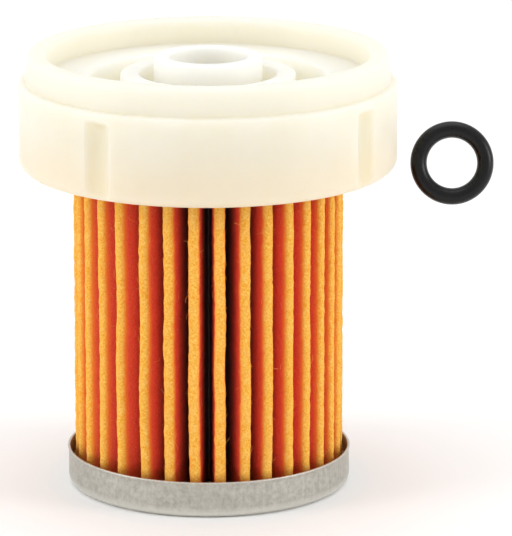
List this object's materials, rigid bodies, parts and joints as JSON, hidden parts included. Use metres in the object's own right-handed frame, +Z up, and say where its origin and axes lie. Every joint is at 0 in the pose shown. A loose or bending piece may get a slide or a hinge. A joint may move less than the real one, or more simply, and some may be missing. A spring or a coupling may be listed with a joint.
{
  "type": "fuel filter",
  "caption": "Cartridge fuel filter: moulded ivory cap with a sealing bore, ring of pleated orange paper, pressed metal cup and a loose rubber O-ring.",
  "frame": {"origin": "centre of the bottom cup's underside, on which the filter stands", "axes": "+Z up the filter's axis towards the outlet bore; +X towards the loose O-ring; -Y is the front"},
  "size_m": [0.0716, 0.057, 0.0668],
  "materials": {
    "ivory_nylon": "satin, slightly translucent natural nylon",
    "filter_paper": "fibrous resin-treated filter paper",
    "tin_plate": "dull tin plate",
    "potting": "cured adhesive",
    "black_rubber": "matt moulded rubber"
  },
  "bodies": {
    "filter": {"top_cap": "ivory_nylon", "pleated_media": "filter_paper", "seam_clip": "tin_plate", "centre_tube": "tin_plate", "bottom_cup": "tin_plate", "top_adhesive": "potting", "bottom_adhesive": "potting"},
    "loose_ring": {"o_ring": "black_rubber"}
  },
  "joints": [
    {"name": "o_ring_drop", "type": "slide", "parent": "filter", "child": "loose_ring", "axis": [0, 0, 1], "range_m": [-0.0432, 0]}
  ]
}
